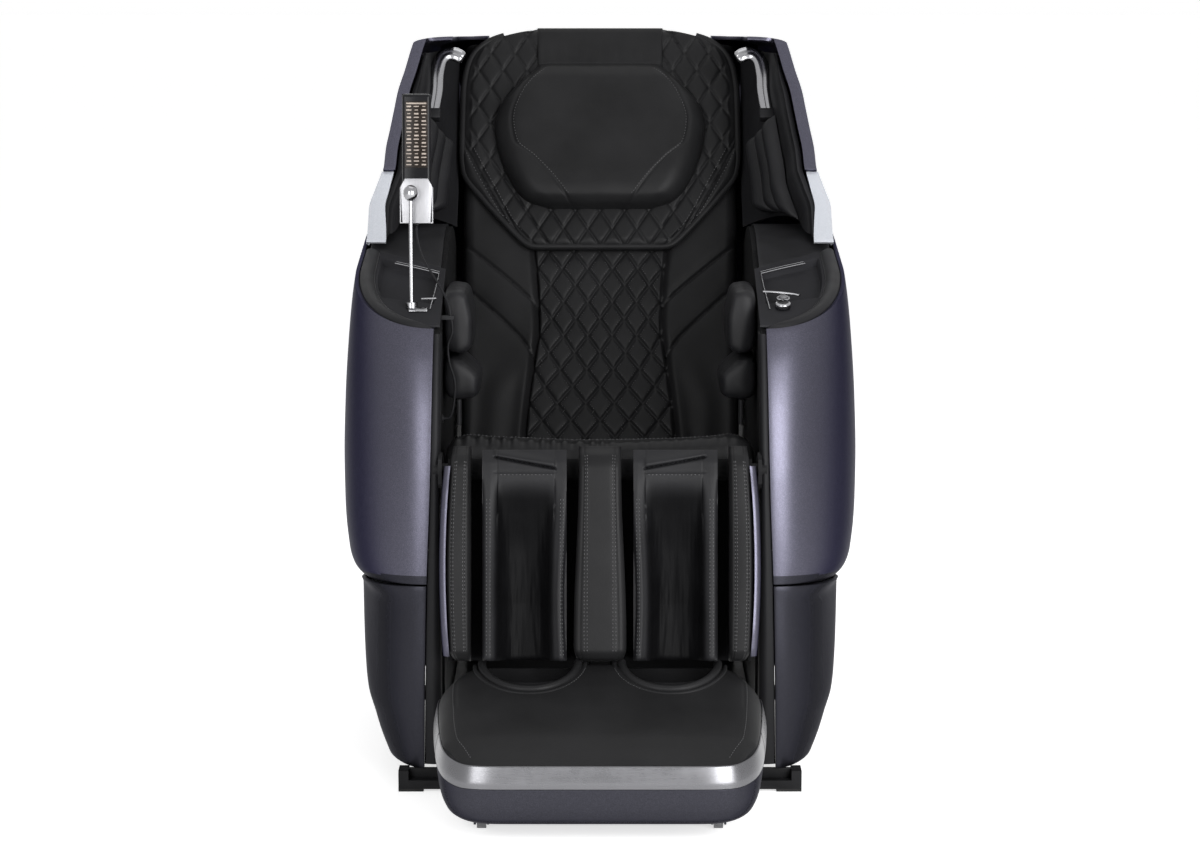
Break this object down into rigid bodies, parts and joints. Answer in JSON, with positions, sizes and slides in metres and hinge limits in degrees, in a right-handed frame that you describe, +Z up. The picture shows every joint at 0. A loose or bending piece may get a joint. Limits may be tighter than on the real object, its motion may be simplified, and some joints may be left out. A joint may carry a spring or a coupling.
{
  "type": "massage chair",
  "caption": "Reclining full-body massage chair with side pods, shoulder wings, calf rest, enclosed foot box and a remote on a stand.",
  "frame": {"origin": "centre of the footprint on the floor", "axes": "+Z up, the sitter faces -Y, +X is on the sitter's left and on the right of a viewer in front"},
  "size_m": [0.846, 1.4399, 1.1841],
  "materials": {
    "accent_silver": "light silver lacquer",
    "black_leather": "black grained synthetic leather",
    "black_plastic": "fine textured black",
    "bright_steel": "ground steel",
    "chrome_trim": "bright satin chrome",
    "dark_steel": "satin black powder coat",
    "foot_paint": "metallic purple-grey lacquer on moulded plastic",
    "gloss_black": "piano black",
    "grey_plastic": "moulded grey",
    "liner_leather": "black grained synthetic leather over board",
    "lower_paint": "dark grey lacquer on moulded plastic",
    "red_rocker": "moulded red",
    "rubber": "moulded black rubber",
    "screen": "printed display under clear glass",
    "side_paint": "metallic purple-grey lacquer on moulded plastic"
  },
  "bodies": {
    "base": {"base_frame": "dark_steel", "floor_pads": "rubber", "rear_axle": "bright_steel"},
    "rear_wheels": {"rear_wheels": "black_plastic"},
    "chassis": {"power_case": "black_plastic", "seat_frame": "dark_steel", "pivot_shafts": "bright_steel", "seat_cushion": "black_leather", "upper_panel_left": "side_paint", "upper_panel_right": "side_paint", "lower_panel_left": "lower_paint", "lower_panel_right": "lower_paint", "liner_left": "black_plastic", "liner_right": "black_plastic", "arm_rim_left": "black_leather", "arm_rim_right": "black_leather", "consoles": "black_plastic", "console_trims": "chrome_trim", "rear_cover_left": "black_plastic", "rear_cover_right": "black_plastic", "arm_airbags": "black_leather", "recline_actuator": "dark_steel", "stand_socket": "chrome_trim", "cord_fittings": "black_plastic", "remote_cord": "black_plastic"},
    "power_switch": {"power_switch": "red_rocker"},
    "quick_knob": {"quick_knob": "chrome_trim"},
    "pause_button": {"pause_button": "grey_plastic"},
    "recline_rod": {"recline_rod": "bright_steel"},
    "remote_stand": {"stand_rod": "chrome_trim"},
    "remote_holder": {"remote_holder": "chrome_trim", "remote_body": "gloss_black", "remote_screen": "screen"},
    "back": {"back_frame": "dark_steel", "back_cross_bars": "dark_steel", "back_shell": "black_plastic", "wing_shell_left": "side_paint", "wing_shell_right": "side_paint", "wing_accents": "accent_silver", "wing_liner_left": "liner_leather", "wing_liner_right": "liner_leather", "shoulder_grips": "chrome_trim", "shoulder_airbags": "black_leather", "back_cushion": "black_leather", "head_pad": "black_leather", "head_pillow": "black_leather", "massage_track": "bright_steel"},
    "carriage": {"massage_carriage": "dark_steel"},
    "kneading_left": {"kneading_head_left": "rubber"},
    "kneading_right": {"kneading_head_right": "rubber"},
    "calf": {"calf_shell": "black_plastic", "calf_pads": "black_leather", "trough_linings": "black_leather"},
    "foot": {"foot_shell": "foot_paint", "foot_trim": "chrome_trim", "foot_cover_pad": "black_leather", "foot_wells": "black_plastic", "foot_slide": "bright_steel"},
    "sole_rollers": {"sole_rollers": "rubber"},
    "foot_wheels": {"foot_wheels": "grey_plastic"}
  },
  "joints": [
    {"name": "chassis_slide", "type": "slide", "parent": "base", "child": "chassis", "axis": [0, -1, 0], "range_m": [0, 0.12]},
    {"name": "rear_wheel_spin", "type": "hinge", "parent": "base", "child": "rear_wheels", "pos_m": [0, 0.379, 0.034], "axis": [1, 0, 0], "continuous": true},
    {"name": "switch_rock", "type": "hinge", "parent": "chassis", "child": "power_switch", "pos_m": [0.052, 0.336, 0.1393], "axis": [1, 0, 0], "range_deg": [-16, 0]},
    {"name": "knob_turn", "type": "hinge", "parent": "chassis", "child": "quick_knob", "pos_m": [0.293, -0.215, 0.75713], "axis": [0, -0.2731, 0.962], "range_deg": [-135, 135]},
    {"name": "pause_press", "type": "slide", "parent": "chassis", "child": "pause_button", "axis": [0, 0.2731, -0.962], "range_m": [0, 0.003], "stiffness_N_per_m": 400, "springref_m": -0.001},
    {"name": "recline", "type": "hinge", "parent": "chassis", "child": "back", "pos_m": [0, 0.19, 0.42], "axis": [-1, 0, 0], "range_deg": [0, 45]},
    {"name": "rod_slide", "type": "slide", "parent": "chassis", "child": "recline_rod", "axis": [0, -1, 0], "range_m": [0, 0.0879]},
    {"name": "carriage_slide", "type": "slide", "parent": "back", "child": "carriage", "axis": [0, 0.454, 0.891], "range_m": [0, 0.48]},
    {"name": "knead_left", "type": "hinge", "parent": "carriage", "child": "kneading_left", "pos_m": [0, 0.29132, 0.57039], "axis": [1, 0, 0], "range_deg": [-10, 10]},
    {"name": "knead_right", "type": "hinge", "parent": "carriage", "child": "kneading_right", "pos_m": [0, 0.29132, 0.57039], "axis": [1, 0, 0], "range_deg": [-10, 10]},
    {"name": "calf_swing", "type": "hinge", "parent": "chassis", "child": "calf", "pos_m": [0, -0.365, 0.52], "axis": [-1, 0, 0], "range_deg": [0, 85]},
    {"name": "foot_extend", "type": "slide", "parent": "calf", "child": "foot", "axis": [0, -0.1736, -0.9848], "range_m": [0, 0.15]},
    {"name": "sole_roller_spin", "type": "hinge", "parent": "foot", "child": "sole_rollers", "pos_m": [0, -0.56, 0.0603], "axis": [1, 0, 0], "continuous": true},
    {"name": "foot_wheel_spin", "type": "hinge", "parent": "foot", "child": "foot_wheels", "pos_m": [0, -0.586, 0.016], "axis": [1, 0, 0], "continuous": true},
    {"name": "stand_turn", "type": "hinge", "parent": "chassis", "child": "remote_stand", "pos_m": [-0.302, -0.211, 0.76826], "axis": [0, 0, 1], "range_deg": [-40, 40]},
    {"name": "holder_tilt", "type": "hinge", "parent": "remote_stand", "child": "remote_holder", "pos_m": [-0.302, -0.211, 0.94226], "axis": [-1, 0, 0], "range_deg": [-14, 2]}
  ],
  "couplings": [
    {"joint": "rod_slide", "follows": "recline", "m_per_rad": 0.11166},
    {"joint": "knead_right", "follows": "knead_left", "ratio": -1}
  ]
}
